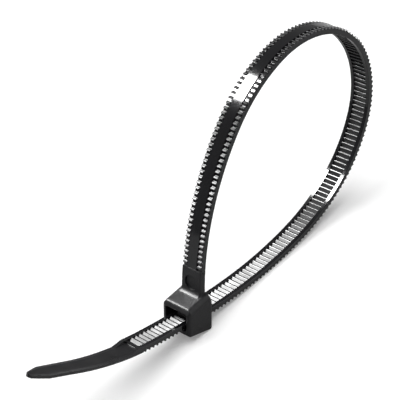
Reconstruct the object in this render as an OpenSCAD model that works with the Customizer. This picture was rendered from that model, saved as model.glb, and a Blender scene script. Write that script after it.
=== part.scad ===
// Nylon cable tie closed into a loop, with its tail drawn through the head.
// One moulding: head with slot and pawl, toothed and serrated strap, thin tail.
// Millimetres. X runs from the tail to the loop, Y is the strap's width, Z is up.
// The tie stands on the head's lower edge and on the strap, as it would on a table.

/* [Strap] */
// Width of the strap
strap_w = 4.6; // [4:0.1:5.4]
// Thickness of the strap over its rails
strap_t = 1.3; // [1.15:0.05:1.5]
// Thickness of the web under the teeth
web_t = 0.7; // [0.55:0.05:0.8]
// Pitch of the teeth and of the serrations
tooth_pitch = 1.02; // [0.9:0.02:1.2]
// Height of a ratchet tooth above the web
tooth_h = 0.52; // [0.35:0.01:0.6]
// Width of each rail beside the teeth
rail_w = 0.8; // [0.6:0.05:1]
// Width of each serrated row on the outer face
row_w = 1.15; // [1:0.05:1.4]
// Depth of the serrated rows' floor below the smooth band between them
row_depth = 0.15; // [0.08:0.01:0.25]
// Height of a serration above that floor
serration_h = 0.3; // [0.15:0.01:0.35]
// Shift of the serrations against the teeth, as a share of the pitch
row_shift = 0.18; // [0:0.01:0.5]

/* [Tail] */
// Length of the tail from the head's middle to the tip
tail_l = 39.8; // [34:0.2:60]
// Thickness of the thin tail
tail_t = 0.6; // [0.5:0.05:0.8]
// Width of the tail just before the tip
tail_end_w = 3.9; // [3:0.1:4.6]
// Length of the tip's taper
tip_l = 3.4; // [2:0.1:5]
// Width of the blunt tip
tip_w = 1.2; // [0.8:0.1:2.5]
// Length of the toothed run outside the head's middle
toothed_l = 13.9; // [8:0.1:16]
// Length of bare web between the last tooth and the tail's step
bare_l = 0.6; // [0.2:0.1:3]
// Length of the rails past the tail's step
rail_run = 0.8; // [0.4:0.1:2]
// Length over which the rails fade into the tail
rail_fade = 2.3; // [1:0.1:4]
// Radius of the strap just outside the head
tail_near_r = 325; // [200:5:500]
// Length of that first bend
tail_near_l = 10.4; // [8:0.2:12]
// Radius of the tail's lift
tail_lift_r = 62.5; // [45:0.5:120]
// Length of the tail's lift
tail_lift_l = 18.6; // [12:0.2:20]

/* [Loop] */
// Radius of the run that leaves the head
run_r = 111; // [90:1:150]
// Turn of that run, degrees
run_turn = 8; // [4:1:12]
// Radius of the lift after the run
lift_r = 76; // [60:1:90]
// Turn of the lift, degrees
lift_turn = 12; // [8:1:16]
// Radius of the rise
rise_r = 37; // [32:0.5:44]
// Turn of the rise, degrees
rise_turn = 20; // [14:1:26]
// Radius of the flank
flank_r = 26.5; // [23:0.5:30]
// Turn of the flank, degrees
flank_turn = 30; // [24:1:36]
// Radius of the side
side_r = 18; // [16:0.2:21]
// Turn of the side, degrees
side_turn = 45; // [40:1:50]
// Radius of the crown
crown_r = 18.4; // [16:0.2:21]
// Turn of the crown, degrees
crown_turn = 45; // [40:1:50]
// Turn of the top, degrees
top_turn = 45; // [40:1:50]
// Radius of the shoulder
shoulder_r = 29; // [26:0.5:33]
// Turn of the shoulder, degrees
shoulder_turn = 30; // [24:1:36]
// Straight part of the strap above the head
root_straight = 2; // [1:0.5:4]

/* [Head] */
// Depth of the head along the strap's pass
head_d = 6.4; // [5.6:0.1:7.5]
// Side wall beside the slot
side_wall = 0.9; // [0.6:0.05:1.2]
// Wall under the slot at the tail side
floor_wall = 1.05; // [0.8:0.05:1.8]
// How far the underside drops toward the loop
floor_drop = 0.95; // [0.3:0.05:1.4]
// Wall over the slot at the tail side
roof_wall = 1.05; // [0.8:0.05:1.4]
// Slope of the roof, degrees
roof_slope = 14; // [8:0.5:18]
// How far the face above the slot leans back
front_lean = 0.35; // [0.1:0.05:0.6]
// Radius of the roof's front edge
front_r = 0.3; // [0.1:0.05:0.4]
// Width of the roof's side edges
side_edge_w = 0.6; // [0.4:0.05:1]
// Height of the roof's side edges
side_edge_h = 0.85; // [0.6:0.05:1.4]
// Radius on both sides of the roof's side edges
side_edge_r = 0.45; // [0.2:0.05:0.6]
// Distance of the root from the loop side of the head
root_setback = 0.9; // [0.5:0.05:1.3]
// Height of the head's back shoulders above the slot
shoulder_h = 1.85; // [1.5:0.05:2.4]
// Radius of the head's lowest edge, on the loop side
heel_r = 0.7; // [0.4:0.05:0.9]
// Drop of the head's back below its shoulders, on the loop side
rear_drop = 1.9; // [1.4:0.1:2.4]
// Radius of the head's shoulder, on the loop side
rear_r = 0.9; // [0.5:0.05:1.2]
// Radius of the head's upright edges
head_edge_r = 0.55; // [0.3:0.05:0.7]
// Radius of the edges beside the head's underside
lower_edge_r = 0.2; // [0.1:0.05:0.4]
// Space in the slot above the strap, for the pawl
pawl_room = 1.95; // [1.6:0.05:2.4]
// Gap between strap and slot, at each side and below
slot_gap = 0.25; // [0.15:0.05:0.4]

/* [Root pad] */
// Length of the smooth pad above the head
pad_l = 5.2; // [4.5:0.1:8]
// Height of the step round the pad
pad_step = 0.08; // [0.04:0.01:0.15]
// Diameter of the ejector mark on the pad
mark_d = 3; // [2:0.1:3.6]
// Depth of the ejector mark
mark_depth = 0.12; // [0.05:0.01:0.2]
// Distance of the mark's middle above the head
mark_rise = 2.3; // [1.9:0.1:3.4]
// How far the root's foot spreads over the roof
foot_spread = 0.7; // [0.3:0.05:0.9]
// Height of the root's foot
foot_h = 0.7; // [0.4:0.05:1]

/* [Pawl] */
// Gap between the pawl's teeth and the strap's
mesh_gap = 0.1; // [0.06:0.01:0.15]
// Gap between the pawl and each rail
pawl_side_gap = 0.15; // [0.1:0.01:0.3]
// Distance of the pawl's tip inside the head's face, at least
pawl_setback = 0.6; // [0.4:0.1:1]
// Teeth on the pawl
pawl_teeth = 3; // [2:1:3]
// Thickness of the pawl above its teeth
pawl_t = 0.55; // [0.4:0.05:0.7]
// Thickness of the pawl's hinge
hinge_t = 0.7; // [0.5:0.05:0.9]
// Thickness of the pawl's arm where it meets the hinge
arm_t = 0.45; // [0.3:0.05:0.6]

/* [Hidden] */
black_nylon = [0.09, 0.09, 0.1];
half_t = strap_t / 2;
slot_w = strap_w + 2 * slot_gap;
slot_low = -half_t - slot_gap;
slot_top = half_t + pawl_room;
head_w = slot_w + 2 * side_wall;
head_low = slot_low - floor_wall;
head_high = slot_top + shoulder_h;
root_x = head_d / 2 - root_setback - half_t;
root_z = slot_top + shoulder_h / 2;
outline_steps = 5;
tail_steps = 8;
pad_steps = 4;
// Share of the foot's slope that runs on below the roof
foot_sink = 0.2;
soft_r = 0.1;
foot_share = 0.03;
ramp_share = 0.68;
crest_share = 0.95;
front_foot_share = 0.35;
front_top_share = 0.5;
serration_top_share = 0.5;
serration_end_share = 0.55;

// Arcs of the loop, from the middle of the head round to the root.
// The top's and the back's radii are worked out so that the loop closes on the root.
back_turn = 270 - run_turn - lift_turn - rise_turn - flank_turn - side_turn - crown_turn
            - top_turn - shoulder_turn;
turns = [run_turn, lift_turn, rise_turn, flank_turn, side_turn, crown_turn, top_turn,
         shoulder_turn, back_turn];
top_at = 6;
back_at = 8;
known_r = [run_r, lift_r, rise_r, flank_r, side_r, crown_r, 0, shoulder_r, 0];
function sum_to(list, n) = n <= 0 ? 0 : list[n - 1] + sum_to(list, n - 1);
function chord(i) =
    let (h = sum_to(turns, i), k = h + turns[i])
    [sin(k) - sin(h), cos(h) - cos(k)];
function known_reach(i) = i < 0 ? [0, 0] : known_r[i] * chord(i) + known_reach(i - 1);
missing = [root_x, root_z + root_straight] - known_reach(len(turns) - 1);
top_r = cross(missing, chord(back_at)) / cross(chord(top_at), chord(back_at));
back_r = cross(chord(top_at), missing) / cross(chord(top_at), chord(back_at));
loop_r = [for (i = [0 : len(turns) - 1]) i == top_at ? top_r : i == back_at ? back_r : known_r[i]];

// Middle line of the strap: place = [x, z, heading], run = length from the head's middle
function rad(a) = a * PI / 180;
function deg(a) = a * 180 / PI;
function along(place, r, turn) =
    let (h = place[2])
    [place[0] + r * (sin(h + turn) - sin(h)), place[1] + r * (cos(h) - cos(h + turn)), h + turn];
loop_lengths = [for (i = [0 : len(turns) - 1]) loop_r[i] * rad(turns[i])];
loop_runs = [for (i = [0 : len(turns)]) sum_to(loop_lengths, i)];
function start_of(i) = i == 0 ? [0, 0, 0] : along(start_of(i - 1), loop_r[i - 1], turns[i - 1]);
loop_starts = [for (i = [0 : len(turns)]) start_of(i)];
arcs_l = loop_runs[len(turns)];
root = loop_starts[len(turns)];
loop_l = arcs_l + root_straight;
tail_near_end = along([0, 0, 0], tail_near_r, -deg(tail_near_l / tail_near_r));
tail_lift_end = along(tail_near_end, tail_lift_r, -deg(tail_lift_l / tail_lift_r));
function arc_at(run, i = 0) = i + 1 < len(turns) && run > loop_runs[i + 1] ? arc_at(run, i + 1) : i;
function on_loop(run) =
    run > arcs_l ? [root[0], root[1] - run + arcs_l, root[2]] :
    let (i = arc_at(run))
    along(loop_starts[i], loop_r[i], deg((run - loop_runs[i]) / loop_r[i]));
function on_tail(back) =
    back <= tail_near_l ? along([0, 0, 0], tail_near_r, -deg(back / tail_near_r)) :
    back <= tail_near_l + tail_lift_l ?
        along(tail_near_end, tail_lift_r, -deg((back - tail_near_l) / tail_lift_r)) :
    let (h = tail_lift_end[2], l = back - tail_near_l - tail_lift_l)
    [tail_lift_end[0] - l * cos(h), tail_lift_end[1] - l * sin(h), h];
function place(run) = run < 0 ? on_tail(-run) : on_loop(run);
// A point beside the middle line, inward = toward the inside of the loop
function beside(run, inward) =
    let (p = place(run))
    [p[0] - inward * sin(p[2]), p[1] + inward * cos(p[2])];

// Faces of the head that the strap's root meets
face_x = head_d / 2;
root_front = root_x - half_t;
function roof_at(x) = [x, slot_top + roof_wall + (x + face_x) * tan(roof_slope)];
foot_x = root_front - foot_spread;
foot_z = roof_at(foot_x)[1];
foot_end = [foot_x, foot_z] - foot_sink * [foot_spread - pad_step, foot_h];

// Stations along the strap
first_tooth = -toothed_l;
tail_step = first_tooth - bare_l;
rail_end = tail_step - rail_run;
fade_end = rail_end - rail_fade;
pad_start = loop_l - pad_l - (head_high - root_z);
tooth_count = floor((pad_start - first_tooth) / tooth_pitch);
last_tooth = first_tooth + tooth_count * tooth_pitch;
stations = [for (i = [0 : tooth_count]) first_tooth + i * tooth_pitch];
tail_stations = [for (i = [0 : tail_steps]) -tail_l + i * (tail_l + fade_end) / tail_steps];
web_top = web_t - half_t;
tail_top = tail_t - half_t;
tooth_top = web_top + tooth_h;
row_floor = row_depth - half_t;
row_top = row_floor - serration_h;

// Outer side of the strap, from the tip to the root
outer_tail = [for (s = tail_stations) beside(s, -half_t)];
outer_lead = [for (s = [rail_end, tail_step]) beside(s, -half_t)];
pad_end = loop_l - (foot_z + foot_h - root_z);
outer_root = concat([beside(last_tooth, -half_t)],
    [for (i = [0 : pad_steps])
        beside(pad_start + i * (pad_end - pad_start) / pad_steps, -half_t - pad_step)],
    [foot_end, [foot_end[0], root_z]]);
outer_smooth = concat(outer_tail, outer_lead, [for (s = stations) beside(s, -half_t)], outer_root);
outer_serrated = concat(outer_tail, outer_lead, [beside(first_tooth, -half_t)],
    [for (i = [0 : tooth_count - 1])
        for (q = [[0, row_floor], [serration_top_share, row_top], [serration_end_share, row_floor]])
            beside(stations[i] + (q[0] + row_shift) * tooth_pitch, q[1])],
    [beside(last_tooth, row_floor)], outer_root);

// Inner side of the strap, from the root back to the tip; the first tooth has a steep front
front_top = web_top + tooth_h * (front_top_share - foot_share) / (ramp_share - foot_share);
first_front = [[front_top_share, front_top], [front_foot_share, web_top]];
inner_root = [for (i = [0 : pad_steps]) beside(loop_l - i * (loop_l - last_tooth) / pad_steps, half_t)];
inner_tail = [for (i = [tail_steps : -1 : 0]) beside(tail_stations[i], tail_top)];
inner_rail = concat(inner_root,
    [for (i = [tooth_count - 1 : -1 : 0]) beside(stations[i], half_t)],
    [beside(tail_step, half_t), beside(rail_end, half_t)], inner_tail);
inner_teeth = concat(inner_root,
    [for (i = [tooth_count - 1 : -1 : 0])
        for (q = concat(i < tooth_count - 1 ? [[1, web_top]] : [],
                        [[crest_share, tooth_top], [ramp_share, tooth_top]],
                        i > 0 ? [[foot_share, web_top]] : first_front))
            beside(stations[i] + q[0] * tooth_pitch, q[1])],
    [beside(tail_step, web_top), beside(tail_step, tail_top), beside(rail_end, tail_top)], inner_tail);

// Cuts an outline's corners into arcs; each corner has its own radius
function unit(v) = v / norm(v);
function arc_corner(a, b, c, r) =
    let (
        u = unit(a - b),
        v = unit(c - b),
        half = acos(u * v) / 2,
        middle = b + unit(u + v) * r / sin(half),
        first = b + u * r / tan(half) - middle,
        start = atan2(first[1], first[0]),
        sweep = -sign(cross(u, v)) * (180 - 2 * half)
    )
    [for (i = [0 : outline_steps])
        middle + r * [cos(start + sweep * i / outline_steps), sin(start + sweep * i / outline_steps)]];
function rounded(points, radii) =
    let (n = len(points))
    [for (i = [0 : n - 1])
        for (p = arc_corner(points[(i + n - 1) % n], points[i], points[(i + 1) % n], radii[i])) p];

// Side outline of the head
head_top = head_high + side_edge_h;
head_side = rounded(
    [[-face_x, head_low], [face_x, head_low - floor_drop], [face_x, head_high - rear_drop],
     [root_x + half_t, head_top], roof_at(root_front), roof_at(front_lean - face_x),
     [-face_x, slot_top + slot_gap]],
    [head_edge_r, heel_r, rear_r, soft_r, soft_r, front_r, soft_r]);
// End outlines of the head: the upper one runs along the roof, the lower one along the underside
half_head = head_w / 2;
roof_out = cos(roof_slope) * roof_at(0)[1];
floor_slope = atan(floor_drop / head_d);
floor_out = cos(floor_slope) * (head_low - floor_drop / 2);
head_upper_end = rounded(
    [[-half_head, -head_w], [half_head, -head_w], [half_head, roof_out - side_edge_h],
     [half_head - side_edge_w, roof_out], [side_edge_w - half_head, roof_out],
     [-half_head, roof_out - side_edge_h]],
    [lower_edge_r, lower_edge_r, side_edge_r, side_edge_r, side_edge_r, side_edge_r]);
head_lower_end = rounded(
    [[-half_head, floor_out], [half_head, floor_out], [half_head, 2 * head_w], [-half_head, 2 * head_w]],
    [lower_edge_r, lower_edge_r, lower_edge_r, lower_edge_r]);
// Plan outline of the head
head_plan = rounded(
    [[-face_x, -head_w / 2], [face_x, -head_w / 2], [face_x, head_w / 2], [-face_x, head_w / 2]],
    [head_edge_r, head_edge_r, head_edge_r, head_edge_r]);

// Plan of what is cut away beside the tail's tapered end, on one side
tip_x = on_tail(tail_l)[0];
taper_x = on_tail(tail_l - tip_l)[0];
fade_x = on_tail(-fade_end)[0];
tip_edge = tip_w / 4;
tail_edge = [[fade_x, strap_w / 2], [taper_x, tail_end_w / 2], [tip_x + tip_edge, tip_w / 2 + tip_edge],
             [tip_x, tip_w / 2 - tip_edge], [tip_x - tip_w, tip_w / 2 - tip_edge],
             [tip_x - tip_w, strap_w], [fade_x, strap_w]];

// Underside of the pawl: the strap's tooth line, lifted and moved by the mesh gap
pawl_w = strap_w - 2 * rail_w - 2 * pawl_side_gap;
pawl_from = first_tooth + ceil((toothed_l - face_x + pawl_setback) / tooth_pitch) * tooth_pitch;
ramp_slope = atan(tooth_h / ((ramp_share - foot_share) * tooth_pitch));
mesh_lift = mesh_gap * (1 + sin(ramp_slope)) / cos(ramp_slope);
pawl_line = [for (i = [pawl_teeth - 1 : -1 : 0])
    for (q = [[crest_share, tooth_top], [ramp_share, tooth_top], [foot_share, web_top]])
        beside(pawl_from + (i + q[0]) * tooth_pitch, q[1]) + [mesh_gap, mesh_lift]];
pawl_tip = pawl_line[len(pawl_line) - 1];
pawl_heel = pawl_line[0];
hinge_x = root_front;
pawl_outline = concat(
    [[hinge_x + hinge_t, slot_top + roof_wall / 2], [hinge_x + hinge_t, slot_top - arm_t],
     pawl_heel + [arm_t, arm_t]],
    pawl_line,
    [pawl_tip + [0, tooth_h], pawl_tip + [pawl_t, tooth_h + pawl_t],
     pawl_heel + [-pawl_t, tooth_h + pawl_t], [hinge_x, slot_top - arm_t],
     [hinge_x, slot_top + roof_wall / 2]]);

// Resting pose: the supporting line runs from the head's lower edge to the strap
head_foot = [for (p = head_side) if (p[0] > 0 && p[1] < 0) p];
strap_under = [for (p = outer_serrated) if (p[0] > face_x) p];
function lean(a, b) = atan2(b[1] - a[1], b[0] - a[0]);
rest_turn = max([for (a = head_foot) min([for (b = strap_under) lean(a, b)])]);
function stood(p) = [p[0] * cos(rest_turn) + p[1] * sin(rest_turn),
                     p[1] * cos(rest_turn) - p[0] * sin(rest_turn)];
rim = [for (p = concat(outer_serrated, head_side)) stood(p)];
base_z = min([for (p = rim) p[1]]);
middle_x = (min([for (p = rim) p[0]]) + max([for (p = rim) p[0]])) / 2;

// A side outline, extruded over a band of the width
module slab(outline, from, to) {
    translate([0, to, 0])
        rotate([90, 0, 0])
            linear_extrude(height = to - from)
                polygon(outline);
}

module centre_band() {
    slab(concat(outer_smooth, inner_teeth), row_w - strap_w / 2, strap_w / 2 - row_w);
}

module side_layers(side) {
    track = strap_w / 2 - rail_w;
    band = strap_w / 2 - row_w;
    scale([1, side, 1]) {
        slab(concat(outer_serrated, inner_teeth), band, track);
        slab(concat(outer_serrated, inner_rail), track, strap_w / 2);
    }
}

module tail_trim(side) {
    reach = 3;
    translate([0, 0, -reach * strap_w])
        linear_extrude(height = 2 * reach * strap_w)
            polygon([for (p = tail_edge) [p[0], side * p[1]]]);
}

module ejector_mark() {
    p = place(loop_l - (head_high - root_z) - mark_rise);
    translate([p[0], 0, p[1]])
        rotate([0, -p[2], 0])
            translate([0, 0, mark_depth - half_t - mark_d])
                cylinder(h = mark_d, d = mark_d, $fn = 48);
}

module strap() {
    color(black_nylon)
        difference() {
            union() {
                centre_band();
                side_layers(1);
                side_layers(-1);
            }
            tail_trim(1);
            tail_trim(-1);
            ejector_mark();
        }
}

module end_prism(outline, slope) {
    rotate([0, -slope, 0])
        rotate([90, 0, 90])
            linear_extrude(height = 3 * head_d, center = true)
                polygon(outline);
}

module head() {
    color(black_nylon)
        difference() {
            intersection() {
                slab(head_side, -head_w, head_w);
                end_prism(head_upper_end, roof_slope);
                end_prism(head_lower_end, -floor_slope);
                linear_extrude(height = 6 * head_d, center = true)
                    polygon(head_plan);
            }
            translate([-head_d, -slot_w / 2, slot_low])
                cube([2 * head_d, slot_w, slot_top - slot_low]);
        }
}

module pawl() {
    color(black_nylon)
        slab(pawl_outline, -pawl_w / 2, pawl_w / 2);
}

module cable_tie() {
    translate([-middle_x, 0, -base_z])
        rotate([0, rest_turn, 0])
            union() {
                strap();
                head();
                pawl();
            }
}

cable_tie();
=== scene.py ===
"""Looks for the closed cable tie: black nylon, a glossy strap and a satin head, on a white floor.

The strap is swept along its middle line with every tooth and serration. The head is cut from
outlines and then softened as a moulding is. The sizes repeat the solid's, in millimetres, apart
from those that shape what the light catches, which differ by up to half a millimetre: the depth
and corners of the teeth and serrations, the first tooth's front, the groove beside the outer
band, the round mark, the foot of the pad and the radius of the roof's front edge.
"""

import math

import bmesh
import bpy
import numpy as np
from mathutils import Matrix, Vector


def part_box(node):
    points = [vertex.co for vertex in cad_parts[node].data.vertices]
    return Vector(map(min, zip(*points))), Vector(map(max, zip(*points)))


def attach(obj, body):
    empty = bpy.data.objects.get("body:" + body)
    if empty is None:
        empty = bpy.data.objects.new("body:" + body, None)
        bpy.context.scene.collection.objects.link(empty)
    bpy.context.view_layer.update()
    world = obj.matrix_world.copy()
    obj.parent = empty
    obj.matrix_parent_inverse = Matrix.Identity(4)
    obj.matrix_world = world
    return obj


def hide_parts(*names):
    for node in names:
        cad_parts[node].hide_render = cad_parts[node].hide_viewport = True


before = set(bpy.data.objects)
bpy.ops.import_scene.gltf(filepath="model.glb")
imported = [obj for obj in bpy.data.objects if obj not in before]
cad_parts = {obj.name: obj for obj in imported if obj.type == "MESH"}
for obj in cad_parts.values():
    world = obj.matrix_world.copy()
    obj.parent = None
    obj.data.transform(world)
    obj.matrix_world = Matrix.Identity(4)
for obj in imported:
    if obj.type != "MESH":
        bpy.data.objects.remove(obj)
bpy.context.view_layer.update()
MM = 0.001

# Strap
STRAP_W = 4.6
STRAP_T = 1.3
WEB_T = 0.8
TOOTH_PITCH = 1.02
TOOTH_H = 0.42
RAIL_W = 0.8
ROW_W = 1.15
ROW_DEPTH = 0.25
SERRATION_H = 0.4
ROW_SHIFT = 0.18
HALF_T = STRAP_T / 2
HALF_W = STRAP_W / 2
TRACK_Y = HALF_W - RAIL_W
BAND_Y = HALF_W - ROW_W
WEB_TOP = WEB_T - HALF_T
TOOTH_TOP = WEB_TOP + TOOTH_H
ROW_FLOOR = ROW_DEPTH - HALF_T
ROW_TOP = ROW_FLOOR - SERRATION_H

# One tooth and one serration: places along the strap as shares of the pitch, and the height of
# the bend in each one's ramp as a share of its own height
TOOTH_FOOT = 0.03
TOOTH_BEND = 0.1
TOOTH_BEND_H = 0.2
RAMP_END = 0.68
CREST_END = 0.96
SERRATION_BEND = 0.12
SERRATION_BEND_H = 0.45
SERRATION_TOP = 0.45
SERRATION_END = 0.5
RAMP_SLOPE = math.atan(TOOTH_H / ((RAMP_END - TOOTH_FOOT) * TOOTH_PITCH))

# Shares of the pitch by which the crest's surface starts early and the last tooth is closed early
CREST_LEAD = 0.05
CLOSED_EARLY = 0.05

# Roundings, as the lengths that they take off before and after their corner
NO_CUT = (0, 0)
TOOTH_FOOT_CUT = (0.03, 0.03)
TOOTH_BEND_CUT = (0.08, 0.08)
CREST_FRONT_CUT = (0.12, 0.04)
CREST_BACK_CUT = (0.14, 0.16)
TOOTH_GAP_CUT = (0.01, 0.01)
FIRST_ROW_CUT = (0.05, 0.05)
SERRATION_FOOT_CUT = (0.06, 0.06)
SERRATION_BEND_CUT = (0.08, 0.08)
SERRATION_TOP_CUT = (0.15, 0.1)
SERRATION_END_CUT = (0.02, 0.02)
SMALL_CUT = 0.04
SMALL_CUT_STEPS = 2
TOOTH_STEPS = 4
SERRATION_STEPS = 3
MOST_OF_A_SIDE = 0.45

# Edges of the strap's section
RAIL_BEVEL = 0.09
INNER_BEVEL = 0.05
ROW_BEVEL = 0.12
ROW_GAP = 0.12
ROW_SLANT = 0.05
BAND_FOOT = 0.02
BAND_EDGE = 0.04
BEVEL_SHARE = 0.25
LEAST_WIDTH = 0.001

# Columns of faces in the ring round the strap: the teeth's track, the serrated rows and the
# ones that make up the tail's upper face
TRACK_COLUMN = 21
ROW_COLUMNS = (6, 14)
TAIL_COLUMNS = (1, 2, 18, 19, 21)

# Normals (across, inward) at the two sides of each smooth column of faces
COLUMN_NORMALS = {
    1: ((-1, 0), (0, 1)),
    2: ((0, 1), (0, 1)),
    3: ((0, 1), (1, 0)),
    4: ((1, 0), (1, 0)),
    10: ((0, -1), (0, -1)),
    16: ((-1, 0), (-1, 0)),
    17: ((-1, 0), (0, 1)),
    18: ((0, 1), (0, 1)),
    19: ((0, 1), (1, 0)),
}
STRAP_CREASE = math.radians(60)

# Surfaces of the strap, in the order of its materials
POLISHED, TOOTH_RAMP, SATIN, TOOTH_CREST, SERRATED = range(5)

# Tail
TAIL_L = 39.8
TAIL_T = 0.6
TAIL_END_W = 3.9
TIP_L = 3.4
TIP_W = 1.2
TIP_CAP = 0.16
TIP_CURVE = 0.92
TIP_HALF_W = 0.02
TOOTHED_L = 13.9
BARE_L = 0.6
RAIL_RUN = 0.8
RAIL_FADE = 2.3
TAIL_NEAR_R = 325.0
TAIL_NEAR_L = 10.4
TAIL_LIFT_R = 62.5
TAIL_LIFT_L = 18.6
TAIL_TOP = TAIL_T - HALF_T
TAPER_START = -TAIL_L + TIP_L

# Stations along the strap's plain stretches, and the least distance between any two
TIP_STATIONS = 26
TAIL_STATIONS = 34
FADE_STATIONS = 22
ROOT_STATIONS = 5
LEAST_STEP = 0.015
TAIL_STEP_L = 0.05
FADE_MARGIN = 0.2
ROOT_MARGIN = 0.02
ROOT_OVERLAP = 0.4
ROW_RUN_ON = 1.0

# Loop, as arcs from the middle of the head round to the root, with the turns in degrees and
# zero for the two radii that are worked out
ARC_TURNS = [8, 12, 20, 30, 45, 45, 45, 30, 35]
KNOWN_RADII = [111, 76, 37, 26.5, 18, 18.4, 0, 29, 0]
TOP_AT = 6
BACK_AT = 8
ROOT_STRAIGHT = 2.0

# Head
HEAD_D = 6.4
SIDE_WALL = 0.9
FLOOR_WALL = 1.05
FLOOR_DROP = 0.95
ROOF_WALL = 1.05
ROOF_SLOPE = math.radians(14)
FRONT_LEAN = 0.35
FRONT_R = 0.6
SIDE_EDGE_W = 0.6
SIDE_EDGE_H = 0.85
SIDE_EDGE_R = 0.45
ROOT_SETBACK = 0.9
SHOULDER_H = 1.85
HEEL_R = 0.7
REAR_DROP = 1.9
REAR_R = 0.9
HEAD_EDGE_R = 0.55
LOWER_EDGE_R = 0.2
SOFT_R = 0.1
PAWL_ROOM = 1.95
SLOT_GAP = 0.25
FACE_X = HEAD_D / 2
SLOT_W = STRAP_W + 2 * SLOT_GAP
SLOT_LOW = -HALF_T - SLOT_GAP
SLOT_TOP = HALF_T + PAWL_ROOM
HEAD_W = SLOT_W + 2 * SIDE_WALL
HEAD_LOW = SLOT_LOW - FLOOR_WALL
HEAD_HIGH = SLOT_TOP + SHOULDER_H
HEAD_TOP = HEAD_HIGH + SIDE_EDGE_H
HEEL = (FACE_X, HEAD_LOW - FLOOR_DROP)
SHOULDER = (FACE_X, HEAD_HIGH - REAR_DROP)
ROOT_X = FACE_X - ROOT_SETBACK - HALF_T
ROOT_Z = SLOT_TOP + SHOULDER_H / 2
ROOT_FRONT = ROOT_X - HALF_T

# Softening of the head: the size of its small faces, the rounds of smoothing, and how far the
# body's greater rounding keeps off the pad's sides and foot
VOXEL = 0.08
SMOOTH_FACTOR = 0.5
EDGE_ROUNDS = 3
BODY_ROUNDS = 30
BODY_OFF_SIDE = 0.1
BODY_OVER_ROOF = 0.3

# Pad at the root, its foot and the round mark on it
PAD_L = 5.2
PAD_STEP = 0.08
FOOT_SPREAD = 1.05
FOOT_R = 1.2
MARK_D = 3.0
MARK_DEPTH = 0.3
MARK_RISE = 2.35
MARK_CREASE = math.radians(35)
PAD_STATIONS = 12
FOOT_STEPS = 12
BACK_STATIONS = 14
PUNCH_L = 2.0
PUNCH_SIDES = 64

# Pawl
MESH_GAP = 0.1
PAWL_SIDE_GAP = 0.15
PAWL_SETBACK = 0.6
PAWL_TEETH = 3
PAWL_T = 0.55
HINGE_T = 0.7
ARM_T = 0.45
PAWL_EDGE = 0.05
PAWL_EDGE_STEPS = 3
MESH_LIFT = MESH_GAP * (1 + math.sin(RAMP_SLOPE)) / math.cos(RAMP_SLOPE)

# Steps of a rounded corner, and how far past the head the strap can first touch the floor
CORNER_STEPS = 10
HEEL_STEPS = 5
REST_MARGIN = 0.5


def chord(start, turn):
    """Reach of an arc of radius 1 that starts at a heading and turns, both in degrees."""
    a, b = math.radians(start), math.radians(start + turn)
    return np.array([math.sin(b) - math.sin(a), math.cos(a) - math.cos(b)])


def closed_radii():
    """The arcs' radii, with the top's and the back's worked out so that the loop closes."""
    heads = np.concatenate([[0], np.cumsum(ARC_TURNS)])
    chords = [chord(heads[i], turn) for i, turn in enumerate(ARC_TURNS)]
    missing = np.array([ROOT_X, ROOT_Z + ROOT_STRAIGHT])
    for radius, reach in zip(KNOWN_RADII, chords):
        missing = missing - radius * reach
    radii = list(KNOWN_RADII)
    radii[TOP_AT], radii[BACK_AT] = np.linalg.solve(
        np.column_stack([chords[TOP_AT], chords[BACK_AT]]), missing
    )
    return radii


def along(start, radius, turn):
    """The place after an arc. A place is (x, z, heading in radians)."""
    x, z, h = start
    return (
        x + radius * (math.sin(h + turn) - math.sin(h)),
        z + radius * (math.cos(h) - math.cos(h + turn)),
        h + turn,
    )


# Places and distances at which the loop's arcs start, and the ends of the tail's two bends
HEAD_MIDDLE = (0.0, 0.0, 0.0)
RADII = closed_radii()
STARTS = [HEAD_MIDDLE]
RUNS = [0.0]
for radius, turn in zip(RADII, ARC_TURNS):
    STARTS.append(along(STARTS[-1], radius, math.radians(turn)))
    RUNS.append(RUNS[-1] + radius * math.radians(turn))
ARCS_L = RUNS[-1]
LOOP_L = ARCS_L + ROOT_STRAIGHT
TAIL_NEAR_END = along(HEAD_MIDDLE, TAIL_NEAR_R, -TAIL_NEAR_L / TAIL_NEAR_R)
TAIL_LIFT_END = along(TAIL_NEAR_END, TAIL_LIFT_R, -TAIL_LIFT_L / TAIL_LIFT_R)

# Distances along the strap at which its stretches start or end, negative on the tail
FIRST_TOOTH = -TOOTHED_L
TAIL_STEP = FIRST_TOOTH - BARE_L
RAIL_END = TAIL_STEP - RAIL_RUN
FADE_END = RAIL_END - RAIL_FADE
PAD_START = LOOP_L - PAD_L - (HEAD_HIGH - ROOT_Z)
TOOTH_COUNT = math.floor((PAD_START - FIRST_TOOTH) / TOOTH_PITCH)
LAST_TOOTH = FIRST_TOOTH + TOOTH_COUNT * TOOTH_PITCH


def place(run):
    """The middle line's place at a distance from the head's middle, negative on the tail."""
    if run >= ARCS_L:
        x, z, h = STARTS[-1]
        return x, z - (run - ARCS_L), h
    if run >= 0:
        i = max(k for k in range(len(RADII)) if RUNS[k] <= run)
        return along(STARTS[i], RADII[i], (run - RUNS[i]) / RADII[i])
    back = -run
    if back <= TAIL_NEAR_L:
        return along(HEAD_MIDDLE, TAIL_NEAR_R, -back / TAIL_NEAR_R)
    back -= TAIL_NEAR_L
    if back <= TAIL_LIFT_L:
        return along(TAIL_NEAR_END, TAIL_LIFT_R, -back / TAIL_LIFT_R)
    back -= TAIL_LIFT_L
    x, z, h = TAIL_LIFT_END
    return x - back * math.cos(h), z - back * math.sin(h), h


def beside(run, inward):
    """A point [x, z] beside the middle line, inward being towards the inside of the loop."""
    x, z, h = place(run)
    return np.array([x - inward * math.sin(h), z + inward * math.cos(h)])


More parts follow.
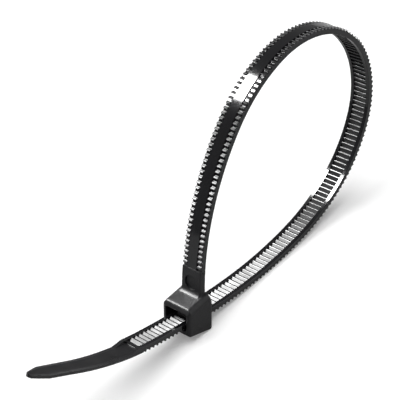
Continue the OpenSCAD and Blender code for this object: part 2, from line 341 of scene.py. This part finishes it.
def rounded_line(points, steps):
    """A line of (run, height, cut before, cut after) points, each corner rounded."""
    pts = [np.array(p[:2], float) for p in points]
    out = [pts[0]]
    for i in range(1, len(pts) - 1):
        a, b, c = pts[i - 1], pts[i], pts[i + 1]
        near, far = np.linalg.norm(a - b), np.linalg.norm(c - b)
        before = (a - b) * min(points[i][2] / near, MOST_OF_A_SIDE)
        after = (c - b) * min(points[i][3] / far, MOST_OF_A_SIDE)
        count = steps if max(points[i][2:]) > SMALL_CUT else SMALL_CUT_STEPS
        for k in range(count + 1):
            t = k / count
            out.append(b + before * (1 - t) ** 2 + after * t**2)
    out.append(pts[-1])
    return np.array(out)


def tooth_line():
    """Height of the track's floor along the strap, teeth included."""
    bend_top = WEB_TOP + TOOTH_BEND_H * TOOTH_H
    line = [(TAIL_STEP, WEB_TOP, *NO_CUT)]
    for i in range(TOOTH_COUNT):
        start = FIRST_TOOTH + i * TOOTH_PITCH
        line.append((start + TOOTH_FOOT * TOOTH_PITCH, WEB_TOP, *TOOTH_FOOT_CUT))
        line.append((start + TOOTH_BEND * TOOTH_PITCH, bend_top, *TOOTH_BEND_CUT))
        line.append((start + RAMP_END * TOOTH_PITCH, TOOTH_TOP, *CREST_FRONT_CUT))
        line.append((start + CREST_END * TOOTH_PITCH, TOOTH_TOP, *CREST_BACK_CUT))
        if i < TOOTH_COUNT - 1:
            line.append((start + TOOTH_PITCH, WEB_TOP, *TOOTH_GAP_CUT))
    return line


def serration_line():
    """Height of the serrated rows along the strap, the outer side being below zero."""
    bend_top = ROW_FLOOR - SERRATION_BEND_H * SERRATION_H
    line = [(TAIL_STEP, -HALF_T, *NO_CUT), (FIRST_TOOTH, -HALF_T, *FIRST_ROW_CUT)]
    for i in range(TOOTH_COUNT):
        start = FIRST_TOOTH + (i + ROW_SHIFT) * TOOTH_PITCH
        line.append((start, ROW_FLOOR, *SERRATION_FOOT_CUT))
        line.append((start + SERRATION_BEND * TOOTH_PITCH, bend_top, *SERRATION_BEND_CUT))
        line.append((start + SERRATION_TOP * TOOTH_PITCH, ROW_TOP, *SERRATION_TOP_CUT))
        line.append((start + SERRATION_END * TOOTH_PITCH, ROW_FLOOR, *SERRATION_END_CUT))
    line.append((LAST_TOOTH + ROW_RUN_ON, ROW_FLOOR, *NO_CUT))
    return line


def tail_half_width(run):
    """Half the strap's width: full on the loop, tapering along the tail to a rounded tip."""
    if run >= FADE_END:
        return HALF_W
    end_half = TAIL_END_W / 2
    if run >= TAPER_START:
        share = (FADE_END - run) / (FADE_END - TAPER_START)
        return HALF_W + (end_half - HALF_W) * share
    share = (run + TAIL_L) / TIP_L
    nose = TIP_W / 2
    if share < TIP_CAP:
        t = 1 - share / TIP_CAP
        cap_half = nose + (end_half - nose) * TIP_CAP
        return max(TIP_HALF_W, cap_half * math.sqrt(max(0, 1 - t * t)))
    return nose + (end_half - nose) * share**TIP_CURVE


def strap_sections():
    """Every station along the strap as (run, track floor, rail top, row, half width)."""
    teeth = rounded_line(tooth_line(), TOOTH_STEPS)
    rows = rounded_line(serration_line(), SERRATION_STEPS)
    end = PAD_START + ROOT_OVERLAP
    tail_end = FADE_END - FADE_MARGIN
    runs = set(teeth[:, 0]) | set(rows[:, 0])
    runs |= set(-TAIL_L + TIP_L * np.linspace(0, 1, TIP_STATIONS) ** 2)
    runs |= set(np.linspace(TAPER_START, tail_end, TAIL_STATIONS))
    runs |= set(np.linspace(tail_end, TAIL_STEP - TAIL_STEP_L, FADE_STATIONS))
    runs |= set(np.linspace(LAST_TOOTH + ROOT_MARGIN, end, ROOT_STATIONS))
    kept = []
    for run in sorted(r for r in runs if r <= end):
        if not kept or run - kept[-1] > LEAST_STEP:
            kept.append(run)
    sections = []
    for run in kept:
        track = np.interp(run, teeth[:, 0], teeth[:, 1])
        row = np.interp(run, rows[:, 0], rows[:, 1])
        rail = HALF_T
        if run < TAIL_STEP:
            track = TAIL_TOP
        if run < RAIL_END:
            fade = min(1, (RAIL_END - run) / RAIL_FADE)
            rail = HALF_T + (TAIL_TOP - HALF_T) * fade
        if run > LAST_TOOTH - CLOSED_EARLY * TOOTH_PITCH:
            track = HALF_T
        sections.append((run, min(track, rail), rail, row, tail_half_width(run)))
    return sections


def section_ring(section):
    """Points (y, inward) round the strap at one station, all edges with a narrow bevel."""
    _, track, rail, row, half = section
    wide = min(RAIL_BEVEL, BEVEL_SHARE * (rail - row))
    side = [
        (TRACK_Y, track),
        (TRACK_Y, max(track, rail - INNER_BEVEL)),
        (TRACK_Y + min(INNER_BEVEL, rail - track + LEAST_WIDTH), rail),
        (HALF_W - wide, rail),
        (HALF_W, rail - wide),
        (HALF_W, row + ROW_BEVEL),
        (HALF_W - ROW_BEVEL, row),
        (BAND_Y + ROW_GAP + ROW_SLANT, row),
        (BAND_Y + ROW_GAP, max(row, ROW_FLOOR)),
        (BAND_Y + BAND_FOOT, max(row, ROW_FLOOR)),
        (BAND_Y - BAND_EDGE, -HALF_T),
    ]
    ring = side + [(-y, n) for y, n in side[::-1]]
    return [(y * half / HALF_W, n) for y, n in ring]


def surface_of(run, column):
    """The surface of a face, from its distance along the strap and its column in the ring."""
    if run < TAIL_STEP and column in TAIL_COLUMNS:
        return SATIN
    share = (run - FIRST_TOOTH) / TOOTH_PITCH
    if column == TRACK_COLUMN:
        return TOOTH_RAMP if share % 1 < RAMP_END - CREST_LEAD else TOOTH_CREST
    if column in ROW_COLUMNS and (share - ROW_SHIFT) % 1 < SERRATION_END:
        return SERRATED
    return POLISHED


def mesh_object(name, verts, faces, smooth=True):
    """A new object from its vertices and faces, shaded smooth or flat."""
    mesh = bpy.data.meshes.new(name)
    mesh.from_pydata([tuple(v) for v in verts], [], faces)
    mesh.validate()
    mesh.update()
    obj = bpy.data.objects.new(name, mesh)
    bpy.context.scene.collection.objects.link(obj)
    mesh.polygons.foreach_set("use_smooth", [smooth] * len(mesh.polygons))
    return obj


def apply_modifiers(obj):
    """Keeps the mesh as its modifiers leave it."""
    bpy.context.view_layer.update()
    shaped = obj.evaluated_get(bpy.context.evaluated_depsgraph_get())
    mesh = bpy.data.meshes.new_from_object(shaped)
    obj.modifiers.clear()
    obj.data = mesh


def combine(obj, other, operation):
    """Joins or cuts obj with other, which is then deleted."""
    boolean = obj.modifiers.new(operation, "BOOLEAN")
    boolean.operation = operation
    boolean.solver = "EXACT"
    boolean.object = other
    apply_modifiers(obj)
    bpy.data.objects.remove(other)


def flatten_normals(obj, crease):
    """Shades large faces flat and lets the narrow bevels between them take up the turn."""
    obj.data.set_sharp_from_angle(angle=crease)
    weighted = obj.modifiers.new("Flat faces", "WEIGHTED_NORMAL")
    weighted.keep_sharp = True
    apply_modifiers(obj)


def smooth_columns(strap, sections, ring_size):
    """Gives the rails, sides and band the even normals of a moulded surface."""
    mesh = strap.data
    normals = [corner.vector.copy() for corner in mesh.corner_normals]
    for i, polygon in enumerate(mesh.polygons):
        station, column = divmod(i, ring_size)
        if station >= len(sections) - 1 or column not in COLUMN_NORMALS:
            continue
        low, high = COLUMN_NORMALS[column]
        for corner in polygon.loop_indices:
            vertex_station, point = divmod(mesh.loops[corner].vertex_index, ring_size)
            across, inward = low if point == column else high
            heading = place(sections[vertex_station][0])[2]
            normals[corner] = Vector((-inward * math.sin(heading), across, inward * math.cos(heading)))
    mesh.normals_split_custom_set(normals)


def build_strap():
    """The strap and tail as one closed sweep, in the head's frame and millimetres."""
    verts = []
    faces = []
    sections = strap_sections()
    for section in sections:
        for y, inward in section_ring(section):
            x, z = beside(section[0], inward)
            verts.append((x, y, z))
    ring_size = len(verts) // len(sections)
    for i in range(len(sections) - 1):
        for k in range(ring_size):
            a = i * ring_size + k
            b = i * ring_size + (k + 1) % ring_size
            faces.append((a, a + ring_size, b + ring_size, b))
    last = (len(sections) - 1) * ring_size
    faces.append(tuple(range(ring_size)))
    faces.append(tuple(range(last, last + ring_size))[::-1])
    strap = mesh_object("strap", verts, faces)
    for i, polygon in enumerate(strap.data.polygons):
        station, column = divmod(i, ring_size)
        if station < len(sections) - 1:
            middle = (sections[station][0] + sections[station + 1][0]) / 2
            polygon.material_index = surface_of(middle, column)
    flatten_normals(strap, STRAP_CREASE)
    smooth_columns(strap, sections, ring_size)
    return strap


def arc_corner(a, b, c, radius, steps=CORNER_STEPS):
    """The corner at b between a and c, rounded to an arc."""
    u = (a - b) / np.linalg.norm(a - b)
    v = (c - b) / np.linalg.norm(c - b)
    half = math.acos(float(np.clip(u @ v, -1, 1))) / 2
    middle = b + (u + v) / np.linalg.norm(u + v) * radius / math.sin(half)
    first = b + u * radius / math.tan(half) - middle
    start = math.atan2(first[1], first[0])
    sweep = -math.copysign(math.pi - 2 * half, u[0] * v[1] - u[1] * v[0])
    angles = [start + sweep * k / steps for k in range(steps + 1)]
    return [middle + radius * np.array([math.cos(t), math.sin(t)]) for t in angles]


def rounded(points, radii):
    """A closed outline with each corner rounded to its own radius."""
    pts = [np.array(p, float) for p in points]
    out = []
    for i, radius in enumerate(radii):
        out += arc_corner(pts[i - 1], pts[i], pts[(i + 1) % len(pts)], radius)
    return out


def prism(name, outline, low, high, axis):
    """An outline extruded from low to high along axis 'X', 'Y' or 'Z'."""
    def point(p, t):
        return {"X": (t, p[0], p[1]), "Y": (p[0], t, p[1]), "Z": (p[0], p[1], t)}[axis]

    n = len(outline)
    verts = [point(p, low) for p in outline] + [point(p, high) for p in outline]
    faces = [tuple(range(n)), tuple(range(n, 2 * n))[::-1]]
    faces += [(i, (i + 1) % n, n + (i + 1) % n, n + i) for i in range(n)]
    obj = mesh_object(name, verts, faces, smooth=False)
    mesh = bmesh.new()
    mesh.from_mesh(obj.data)
    bmesh.ops.recalc_face_normals(mesh, faces=mesh.faces)
    mesh.to_mesh(obj.data)
    mesh.free()
    return obj


def end_prism(name, outline, slope):
    """An end outline extruded along the head and turned so that it rises by the slope."""
    obj = prism(name, outline, -2 * HEAD_D, 2 * HEAD_D, "X")
    obj.data.transform(Matrix.Rotation(-slope, 4, "Y"))
    return obj


def roof_at(x):
    """The point (x, z) on the head's sloping roof."""
    return (x, SLOT_TOP + ROOF_WALL + (x + FACE_X) * math.tan(ROOF_SLOPE))


def head_block():
    """The head's body: its side, end and plan outlines crossed, with the slot through it."""
    side = rounded(
        [(-FACE_X, HEAD_LOW), HEEL, SHOULDER, (ROOT_X + HALF_T, HEAD_TOP), roof_at(ROOT_FRONT),
         roof_at(FRONT_LEAN - FACE_X), (-FACE_X, SLOT_TOP + SLOT_GAP)],
        [HEAD_EDGE_R, HEEL_R, REAR_R, SOFT_R, SOFT_R, FRONT_R, SOFT_R],
    )
    half = HEAD_W / 2
    roof_out = math.cos(ROOF_SLOPE) * roof_at(0)[1]
    edge_out = roof_out - SIDE_EDGE_H
    upper_end = rounded(
        [(-half, -HEAD_W), (half, -HEAD_W), (half, edge_out), (half - SIDE_EDGE_W, roof_out),
         (SIDE_EDGE_W - half, roof_out), (-half, edge_out)],
        [LOWER_EDGE_R] * 2 + [SIDE_EDGE_R] * 4,
    )
    floor_slope = math.atan(FLOOR_DROP / HEAD_D)
    floor_out = math.cos(floor_slope) * (HEAD_LOW - FLOOR_DROP / 2)
    lower_end = rounded(
        [(-half, floor_out), (half, floor_out), (half, 2 * HEAD_W), (-half, 2 * HEAD_W)],
        [LOWER_EDGE_R] * 4,
    )
    plan = rounded(
        [(-FACE_X, -half), (FACE_X, -half), (FACE_X, half), (-FACE_X, half)], [HEAD_EDGE_R] * 4
    )
    slot = [(-HEAD_D, SLOT_LOW), (HEAD_D, SLOT_LOW), (HEAD_D, SLOT_TOP), (-HEAD_D, SLOT_TOP)]
    head = prism("head", side, -HEAD_W, HEAD_W, "Y")
    combine(head, end_prism("upper", upper_end, ROOF_SLOPE), "INTERSECT")
    combine(head, end_prism("lower", lower_end, -floor_slope), "INTERSECT")
    combine(head, prism("plan", plan, -2 * HEAD_D, 2 * HEAD_D, "Z"), "INTERSECT")
    combine(head, prism("slot", slot, -SLOT_W / 2, SLOT_W / 2, "Y"), "DIFFERENCE")
    return head


# Foot of the pad on the roof, and how much the pad swells on its way there
FOOT_X = ROOT_FRONT - FOOT_SPREAD
FOOT_Z = roof_at(FOOT_X)[1]
FOOT_TURN = math.pi / 2 - ROOF_SLOPE
FOOT_FRONT = FOOT_X + FOOT_R * (1 - math.cos(FOOT_TURN))
PAD_END = LOOP_L - (FOOT_Z + FOOT_R * math.sin(FOOT_TURN) - ROOT_Z)
PAD_SWELL = ROOT_FRONT - PAD_STEP - FOOT_FRONT
PAD_TILT = PAD_SWELL / (PAD_END - PAD_START)


def pad_outline():
    """The root from the side: the pad's swelling face, its fillet on the roof, and its back."""
    line = []
    for share in np.linspace(0, 1, PAD_STATIONS):
        run = PAD_START + (PAD_END - PAD_START) * share
        line.append(beside(run, -HALF_T - PAD_STEP - PAD_SWELL * share))
    for k in range(1, FOOT_STEPS + 1):
        angle = FOOT_TURN * k / FOOT_STEPS
        line.append((
            FOOT_FRONT - FOOT_R * (1 - math.cos(angle)),
            FOOT_Z + FOOT_R * (math.sin(FOOT_TURN) - math.sin(angle)),
        ))
    line.append((FOOT_X, ROOT_Z))
    line += [beside(run, HALF_T) for run in np.linspace(LOOP_L, PAD_START, BACK_STATIONS)]
    return line


def mark_punch():
    """The cylinder that sinks the round ejector mark into the pad."""
    run = LOOP_L - (HEAD_HIGH - ROOT_Z) - MARK_RISE
    pad_out = PAD_STEP + PAD_TILT * (run - PAD_START)
    x, z, h = place(run)
    h += PAD_TILT
    mesh = bpy.data.meshes.new("mark")
    cylinder = bmesh.new()
    bmesh.ops.create_cone(
        cylinder, cap_ends=True, segments=PUNCH_SIDES, radius1=MARK_D / 2, radius2=MARK_D / 2,
        depth=PUNCH_L,
    )
    cylinder.to_mesh(mesh)
    cylinder.free()
    punch = bpy.data.objects.new("mark", mesh)
    bpy.context.scene.collection.objects.link(punch)
    outward = Vector((math.sin(h), 0, -math.cos(h)))
    punch.rotation_euler = outward.to_track_quat("Z", "Y").to_euler()
    punch.location = Vector((x, 0, z)) + outward * (HALF_T + pad_out - MARK_DEPTH + PUNCH_L / 2)
    return punch


def on_body(point):
    """Whether a point is on the head's body, clear of the pad that rises from its roof."""
    return abs(point.y) > HALF_W + BODY_OFF_SIDE or point.z < roof_at(point.x)[1] + BODY_OVER_ROOF


def soften(obj):
    """Rebuilds a solid with even small faces and rounds its edges, the body's ones more."""
    remesh = obj.modifiers.new("Even faces", "REMESH")
    remesh.mode = "VOXEL"
    remesh.voxel_size = VOXEL
    apply_modifiers(obj)
    body = obj.vertex_groups.new(name="body")
    body.add([v.index for v in obj.data.vertices if on_body(v.co)], 1.0, "REPLACE")
    for iterations, group in ((BODY_ROUNDS, "body"), (EDGE_ROUNDS, "")):
        smooth = obj.modifiers.new("Round edges", "SMOOTH")
        smooth.factor = SMOOTH_FACTOR
        smooth.iterations = iterations
        smooth.vertex_group = group
    apply_modifiers(obj)
    obj.data.polygons.foreach_set("use_smooth", [True] * len(obj.data.polygons))


def build_head():
    """The head with the root pad that rises from it, softened as one moulding."""
    head = head_block()
    combine(head, prism("pad", pad_outline(), -HALF_W, HALF_W, "Y"), "UNION")
    soften(head)
    combine(head, mark_punch(), "DIFFERENCE")
    head.data.set_sharp_from_angle(angle=MARK_CREASE)
    return head


def build_pawl():
    """The pawl: teeth that match the strap's, a thin tongue and a hinge."""
    half = (STRAP_W - 2 * RAIL_W - 2 * PAWL_SIDE_GAP) / 2
    start = FIRST_TOOTH + math.ceil((TOOTHED_L - FACE_X + PAWL_SETBACK) / TOOTH_PITCH) * TOOTH_PITCH
    profile = ((CREST_END, TOOTH_TOP), (RAMP_END, TOOTH_TOP), (TOOTH_FOOT, WEB_TOP))
    line = []
    for i in reversed(range(PAWL_TEETH)):
        for share, height in profile:
            line.append(beside(start + (i + share) * TOOTH_PITCH, height) + [MESH_GAP, MESH_LIFT])
    heel, tip = line[0], line[-1]
    back = TOOTH_H + PAWL_T
    arm_low = SLOT_TOP - ARM_T
    hinge_top = SLOT_TOP + ROOF_WALL / 2
    outline = [(ROOT_FRONT + HINGE_T, hinge_top), (ROOT_FRONT + HINGE_T, arm_low)]
    outline += [heel + [ARM_T, ARM_T]] + line + [tip + [0, TOOTH_H]]
    outline += [tip + [PAWL_T, back], heel + [-PAWL_T, back]]
    outline += [(ROOT_FRONT, arm_low), (ROOT_FRONT, hinge_top)]
    pawl = prism("pawl", outline, -half, half, "Y")
    bevel = pawl.modifiers.new("Round edges", "BEVEL")
    bevel.width = PAWL_EDGE
    bevel.segments = PAWL_EDGE_STEPS
    bevel.limit_method = "ANGLE"
    apply_modifiers(pawl)
    pawl.data.polygons.foreach_set("use_smooth", [True] * len(pawl.data.polygons))
    return pawl


def resting_turn():
    """The turn that lays the tie on the head's lower edge and on the strap, in radians."""
    front = np.array([-FACE_X, HEAD_LOW])
    feet = arc_corner(front, np.array(HEEL), np.array(SHOULDER), HEEL_R, steps=HEEL_STEPS)
    peaks = [FIRST_TOOTH + (i + ROW_SHIFT + SERRATION_TOP) * TOOTH_PITCH for i in range(TOOTH_COUNT)]
    under = [beside(run, ROW_TOP) for run in peaks if FACE_X + REST_MARGIN < run < LOOP_L / 2]
    turns = [min(math.atan2(b[1] - a[1], b[0] - a[0]) for b in under) for a in feet]
    return max(turns)


# Pieces, built in the head's frame and then stood on the floor as the solid stands
strap = build_strap()
head = build_head()
pawl = build_pawl()
pieces = [strap, head, pawl]
stand = Matrix.Rotation(resting_turn(), 4, "Y")
for piece in pieces:
    piece.data.transform(stand)
corners = np.array([v.co for piece in (strap, head) for v in piece.data.vertices])
low_corner, high_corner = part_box("cable_tie")
shift = Vector((
    (low_corner[0] + high_corner[0]) / 2 / MM - (corners[:, 0].min() + corners[:, 0].max()) / 2,
    0,
    low_corner[2] / MM - corners[:, 2].min(),
))
to_frame = Matrix.Scale(MM, 4) @ Matrix.Translation(shift)
for piece in pieces:
    piece.data.transform(to_frame)
    piece.data.update()
    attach(piece, "root")
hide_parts("cable_tie")

# Nylon: clouds that vary its colour and roughness between two levels, over a fine grain and
# low waves
NYLON_IOR = 1.5
CLOUD_SCALE = 260
CLOUD_DETAIL = 4
CLOUD_LEVELS = (0.3, 0.7)
COLOUR_FACTORS = (0.75, 1.25)
ROUGHNESS_FACTORS = (0.88, 1.15)
GRAIN_DETAIL = 3
GRAIN_ROUGHNESS = 0.65
WAVE_SCALE = 900
WAVE_DETAIL = 2
DEEP_BLACK = (0.006, 0.006, 0.007)
TAIL_BLACK = (0.007, 0.007, 0.008)
TOOTH_BLACK = (0.009, 0.009, 0.01)


def noise(tree, coordinates, scale, detail, roughness=0.5):
    """Noise over the piece's own coordinates."""
    node = tree.nodes.new("ShaderNodeTexNoise")
    node.inputs["Scale"].default_value = scale
    node.inputs["Detail"].default_value = detail
    node.inputs["Roughness"].default_value = roughness
    tree.links.new(coordinates.outputs["Object"], node.inputs["Vector"])
    return node.outputs["Fac"]


def relief(tree, height, depth):
    """A bump node that raises a height between 0 and 1 to a depth in metres."""
    node = tree.nodes.new("ShaderNodeBump")
    node.inputs["Strength"].default_value = 1.0
    node.inputs["Distance"].default_value = depth
    tree.links.new(height, node.inputs["Height"])
    return node


def nylon(name, colour, roughness, grain, grain_depth, wave_depth, specular=0.5):
    """Black nylon, slightly cloudy in colour and gloss, with a mould's grain and low waves."""
    material = bpy.data.materials.new(name)
    material.use_nodes = True
    tree = material.node_tree
    shader = tree.nodes["Principled BSDF"]
    shader.inputs["IOR"].default_value = NYLON_IOR
    shader.inputs["Specular IOR Level"].default_value = specular
    coordinates = tree.nodes.new("ShaderNodeTexCoord")
    clouds = noise(tree, coordinates, CLOUD_SCALE, CLOUD_DETAIL)
    tint = tree.nodes.new("ShaderNodeValToRGB")
    for shade, level, factor in zip(tint.color_ramp.elements, CLOUD_LEVELS, COLOUR_FACTORS):
        shade.position = level
        shade.color = (*[c * factor for c in colour], 1)
    tree.links.new(clouds, tint.inputs["Fac"])
    tree.links.new(tint.outputs["Color"], shader.inputs["Base Color"])
    gloss = tree.nodes.new("ShaderNodeMapRange")
    gloss.inputs["From Min"].default_value = CLOUD_LEVELS[0]
    gloss.inputs["From Max"].default_value = CLOUD_LEVELS[1]
    gloss.inputs["To Min"].default_value = roughness * ROUGHNESS_FACTORS[0]
    gloss.inputs["To Max"].default_value = roughness * ROUGHNESS_FACTORS[1]
    tree.links.new(clouds, gloss.inputs["Value"])
    tree.links.new(gloss.outputs["Result"], shader.inputs["Roughness"])
    grains = noise(tree, coordinates, grain, GRAIN_DETAIL, GRAIN_ROUGHNESS)
    waves = noise(tree, coordinates, WAVE_SCALE, WAVE_DETAIL)
    grain_relief = relief(tree, grains, grain_depth)
    wave_relief = relief(tree, waves, wave_depth)
    tree.links.new(grain_relief.outputs["Normal"], wave_relief.inputs["Normal"])
    tree.links.new(wave_relief.outputs["Normal"], shader.inputs["Normal"])
    return material


# Each surface's colour, roughness, grain, and the depths of its grain and waves in metres
strap_nylon = nylon("strap_nylon", DEEP_BLACK, 0.09, 3000, 2e-7, 2e-7)
tooth_nylon = nylon("tooth_nylon", TOOTH_BLACK, 0.45, 6000, 4e-6, 2e-6)
crest_nylon = nylon("crest_nylon", TOOTH_BLACK, 0.28, 6000, 2e-6, 2e-6)
serration_nylon = nylon("serration_nylon", TOOTH_BLACK, 0.42, 6000, 3e-6, 2e-6)
tail_nylon = nylon("tail_nylon", TAIL_BLACK, 0.3, 3000, 1e-5, 8e-6)
head_nylon = nylon("head_nylon", DEEP_BLACK, 0.43, 2600, 6e-5, 1e-5, specular=0.4)
for material in (strap_nylon, tooth_nylon, tail_nylon, crest_nylon, serration_nylon):
    strap.data.materials.append(material)
pawl.data.materials.append(tooth_nylon)
head.data.materials.clear()
head.data.materials.append(head_nylon)

# Camera: the photograph's view, measured in strap widths from the head and turned with it
IMAGE_PX = 400
SENSOR_MM = 36.0
FOCAL_PX = 1465.8
CLIP_START = 0.01
CAMERA_AWAY = 57.46 * STRAP_W
CAMERA_TURN = math.radians(42.85)
CAMERA_TILT = math.radians(28.35)
CAMERA_ROLL = math.radians(-0.16)
AIM = Vector((0.750 * STRAP_W, 0, 5.023 * STRAP_W))


def add_camera():
    """The scene's camera, placed in the head's frame and moved with the tie."""
    view_dir = Vector((
        math.cos(CAMERA_TURN) * math.cos(CAMERA_TILT),
        math.sin(CAMERA_TURN) * math.cos(CAMERA_TILT),
        -math.sin(CAMERA_TILT),
    ))
    level_right = Vector((math.sin(CAMERA_TURN), -math.cos(CAMERA_TURN), 0))
    level_up = level_right.cross(view_dir)
    right = level_right * math.cos(CAMERA_ROLL) + level_up * math.sin(CAMERA_ROLL)
    up = level_up * math.cos(CAMERA_ROLL) - level_right * math.sin(CAMERA_ROLL)
    camera_data = bpy.data.cameras.new("camera")
    camera_data.sensor_width = SENSOR_MM
    camera_data.lens = FOCAL_PX / IMAGE_PX * SENSOR_MM
    camera_data.clip_start = CLIP_START
    camera = bpy.data.objects.new("camera", camera_data)
    bpy.context.scene.collection.objects.link(camera)
    turned = stand @ Matrix((right, up, -view_dir)).transposed().to_4x4()
    turned.translation = to_frame @ (stand @ (AIM - view_dir * CAMERA_AWAY))
    camera.matrix_world = turned
    bpy.context.scene.camera = camera


# Floor: its side in metres, its grey under other light and as the camera sees it, and the glow
# that whitens it for the camera alone
FLOOR_SIDE = 3.0
FLOOR_GREY = (0.42, 0.42, 0.42, 1)
FLOOR_SEEN_GREY = (0.8, 0.8, 0.8, 1)
FLOOR_GLOW = 0.22


def floor_paint():
    """A pale matte paint that the camera sees as white, with the tie's soft shadow on it."""
    paint = bpy.data.materials.new("floor_white")
    paint.use_nodes = True
    nodes = paint.node_tree.nodes
    links = paint.node_tree.links
    nodes.clear()
    output = nodes.new("ShaderNodeOutputMaterial")
    ray = nodes.new("ShaderNodeLightPath")
    tone = nodes.new("ShaderNodeMix")
    tone.data_type = "RGBA"
    tone.inputs["A"].default_value = FLOOR_GREY
    tone.inputs["B"].default_value = FLOOR_SEEN_GREY
    links.new(ray.outputs["Is Camera Ray"], tone.inputs["Factor"])
    matte = nodes.new("ShaderNodeBsdfDiffuse")
    links.new(tone.outputs["Result"], matte.inputs["Color"])
    level = nodes.new("ShaderNodeMath")
    level.operation = "MULTIPLY"
    level.inputs[1].default_value = FLOOR_GLOW
    links.new(ray.outputs["Is Camera Ray"], level.inputs[0])
    glow = nodes.new("ShaderNodeEmission")
    links.new(level.outputs["Value"], glow.inputs["Strength"])
    both = nodes.new("ShaderNodeAddShader")
    links.new(matte.outputs["BSDF"], both.inputs[0])
    links.new(glow.outputs["Emission"], both.inputs[1])
    links.new(both.outputs["Shader"], output.inputs["Surface"])
    return paint


add_camera()
bpy.ops.mesh.primitive_plane_add(size=FLOOR_SIDE, location=(0, 0, 0))
floor = bpy.context.object
floor.name = "floor"
floor.data.materials.append(floor_paint())

# World: an even white light from all sides
WORLD_LEVEL = 0.22
world = bpy.data.worlds.new("studio")
bpy.context.scene.world = world
world.use_nodes = True
sky = world.node_tree.nodes["Background"]
sky.inputs["Color"].default_value = (1, 1, 1, 1)
sky.inputs["Strength"].default_value = WORLD_LEVEL

# Lamps: directions in the head's frame, distances and sides in metres
KEY_RISE = math.radians(69.5)
KEY_SIDE = 0.6
KEY_REACH = math.sqrt(1 - KEY_SIDE**2)
KEY_FROM = (-KEY_REACH * math.cos(KEY_RISE), KEY_SIDE, KEY_REACH * math.sin(KEY_RISE))
SIDE_FROM = (0.645, -0.62, 0.44)
OVERHEAD_FROM = (-0.35, 0.1, 1.0)


def softbox(name, direction, away, length, width, radiance, glossy=True, diffuse=True):
    """Adds a rectangular lamp that faces the tie, its width along the tie's Y."""
    lamp = bpy.data.lights.new(name, "AREA")
    lamp.shape = "RECTANGLE"
    lamp.size = length
    lamp.size_y = width
    lamp.energy = radiance * math.pi * length * width
    obj = bpy.data.objects.new(name, lamp)
    bpy.context.scene.collection.objects.link(obj)
    toward = (stand.to_3x3() @ Vector(direction)).normalized()
    middle = (Vector(low_corner) + Vector(high_corner)) / 2
    across = (Vector((0, 1, 0)) - toward * toward.y).normalized()
    facing = Matrix((across.cross(toward), across, toward)).transposed().to_4x4()
    facing.translation = middle + toward * away
    obj.matrix_world = facing
    obj.visible_glossy = glossy
    obj.visible_diffuse = diffuse


softbox("key", KEY_FROM, away=0.8, length=0.235, width=0.36, radiance=90, diffuse=False)
softbox("side", SIDE_FROM, away=1.0, length=0.7, width=0.7, radiance=2.2, diffuse=False)
softbox("overhead", OVERHEAD_FROM, away=1.0, length=1.3, width=1.3, radiance=3.2, glossy=False)

bpy.context.scene.view_settings.view_transform = "Standard"
